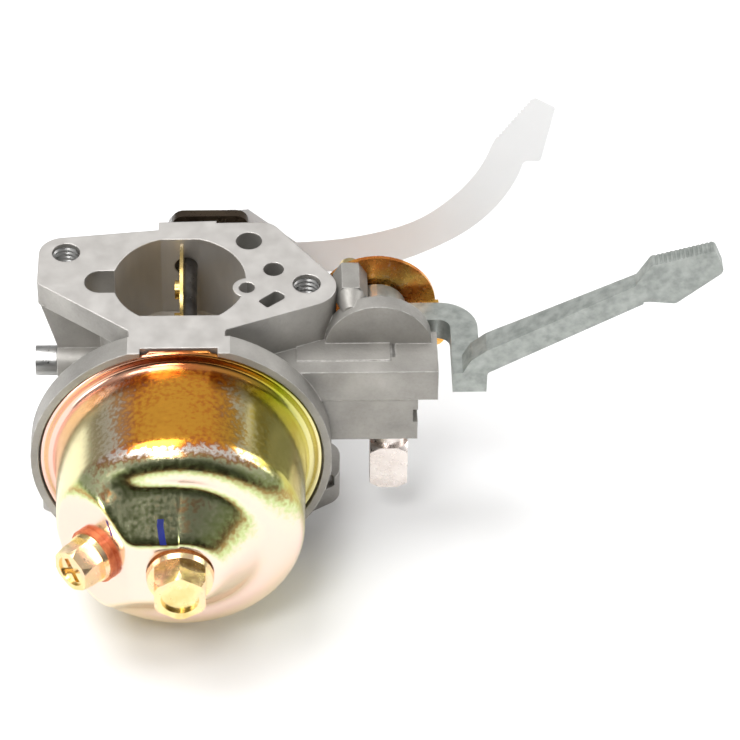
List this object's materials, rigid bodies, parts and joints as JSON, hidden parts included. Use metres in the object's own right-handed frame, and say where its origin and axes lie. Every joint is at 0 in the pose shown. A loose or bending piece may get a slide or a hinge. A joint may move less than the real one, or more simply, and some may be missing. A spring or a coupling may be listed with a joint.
{
  "type": "carburetor",
  "caption": "Float-bowl carburetor with a two-eared inlet flange, manual choke lever, fuel shut-off lever and pressed steel bowl.",
  "frame": {"origin": "centre of the throttle bore on the engine-side face", "axes": "+Z along the air passage towards the inlet face, -Y towards the bottom of the float bowl, +X towards the fuel valve"},
  "size_m": [0.1639, 0.1102, 0.0994],
  "materials": {
    "cast": "as-cast, machined faces",
    "zinc_bowl": "yellow chromate on zinc",
    "zinc_bolt": "yellow chromate on zinc",
    "zinc_plate": "yellow chromate on zinc",
    "pale_zinc": "pale zinc",
    "lever_zinc": "grey die-cast",
    "white_plastic": "satin",
    "black_plastic": "satin",
    "float_plastic": "satin",
    "brass": "turned",
    "steel": "plain",
    "dark_steel": "dark",
    "brown_steel": "brown phosphate",
    "rubber": "matt",
    "red_fibre": "fibre",
    "fibre": "fibre"
  },
  "bodies": {
    "body": {"carb_body": "cast", "float_bowl": "zinc_bowl", "bowl_bolt_washer": "fibre", "bowl_bolt": "zinc_bolt", "drain_washer": "red_fibre", "drain_bolt": "zinc_bolt", "drain_boss": "steel", "bowl_gasket": "rubber", "float_pin": "steel", "main_nozzle": "brass", "main_jet": "brass", "needle_seat": "brass", "throttle_seal": "rubber", "idle_stop_spring": "steel", "mixture_spring": "steel", "pilot_jet": "brass", "welch_plug": "steel", "fuel_valve_gasket": "rubber", "fuel_valve_wave_washer": "steel", "fuel_valve_plate": "zinc_plate", "fuel_valve_screws": "zinc_bolt", "fuel_inlet_union": "pale_zinc"},
    "choke_valve": {"choke_shaft": "dark_steel", "choke_plate": "brass", "choke_plate_screws": "brass", "choke_arm": "brown_steel", "choke_lever": "white_plastic", "choke_lever_clip": "steel"},
    "throttle_valve": {"throttle_shaft": "steel", "throttle_plate": "brass", "throttle_plate_screws": "brass", "throttle_lever": "steel", "throttle_spacer": "steel"},
    "fuel_lever": {"fuel_valve_lever": "lever_zinc"},
    "float_arm": {"float": "float_plastic"},
    "needle": {"float_needle": "brass", "needle_clip": "steel"},
    "idle_stop": {"idle_stop_screw": "black_plastic"},
    "mixture": {"mixture_screw": "brass", "mixture_limiter_cap": "steel"}
  },
  "joints": [
    {"name": "choke", "type": "hinge", "parent": "body", "child": "choke_valve", "pos_m": [0.0014, 0, 0.0604], "axis": [0, -1, 0], "range_deg": [0, 73]},
    {"name": "throttle", "type": "hinge", "parent": "body", "child": "throttle_valve", "pos_m": [0, 0, 0.013], "axis": [0, -1, 0], "range_deg": [0, 78]},
    {"name": "fuel_valve", "type": "hinge", "parent": "body", "child": "fuel_lever", "pos_m": [0.0477, 0, 0.0557], "axis": [0, -1, 0], "range_deg": [-15, 75]},
    {"name": "float_swing", "type": "hinge", "parent": "body", "child": "float_arm", "pos_m": [0, -0.0286, 0.05675], "axis": [-1, 0, 0], "range_deg": [0, 9]},
    {"name": "needle_lift", "type": "slide", "parent": "body", "child": "needle", "axis": [0, -1, 0], "range_m": [0, 0.0013]},
    {"name": "idle_stop_turn", "type": "hinge", "parent": "body", "child": "idle_stop", "pos_m": [0.02, 0.027, 0.022], "axis": [1, 0, 0], "range_deg": [-180, 180]},
    {"name": "mixture_turn", "type": "hinge", "parent": "body", "child": "mixture", "pos_m": [-0.025, -0.002, 0.0455], "axis": [-1, 0, 0], "range_deg": [-90, 90]}
  ],
  "couplings": [
    {"joint": "needle_lift", "follows": "float_swing", "m_per_rad": 0.0075}
  ]
}
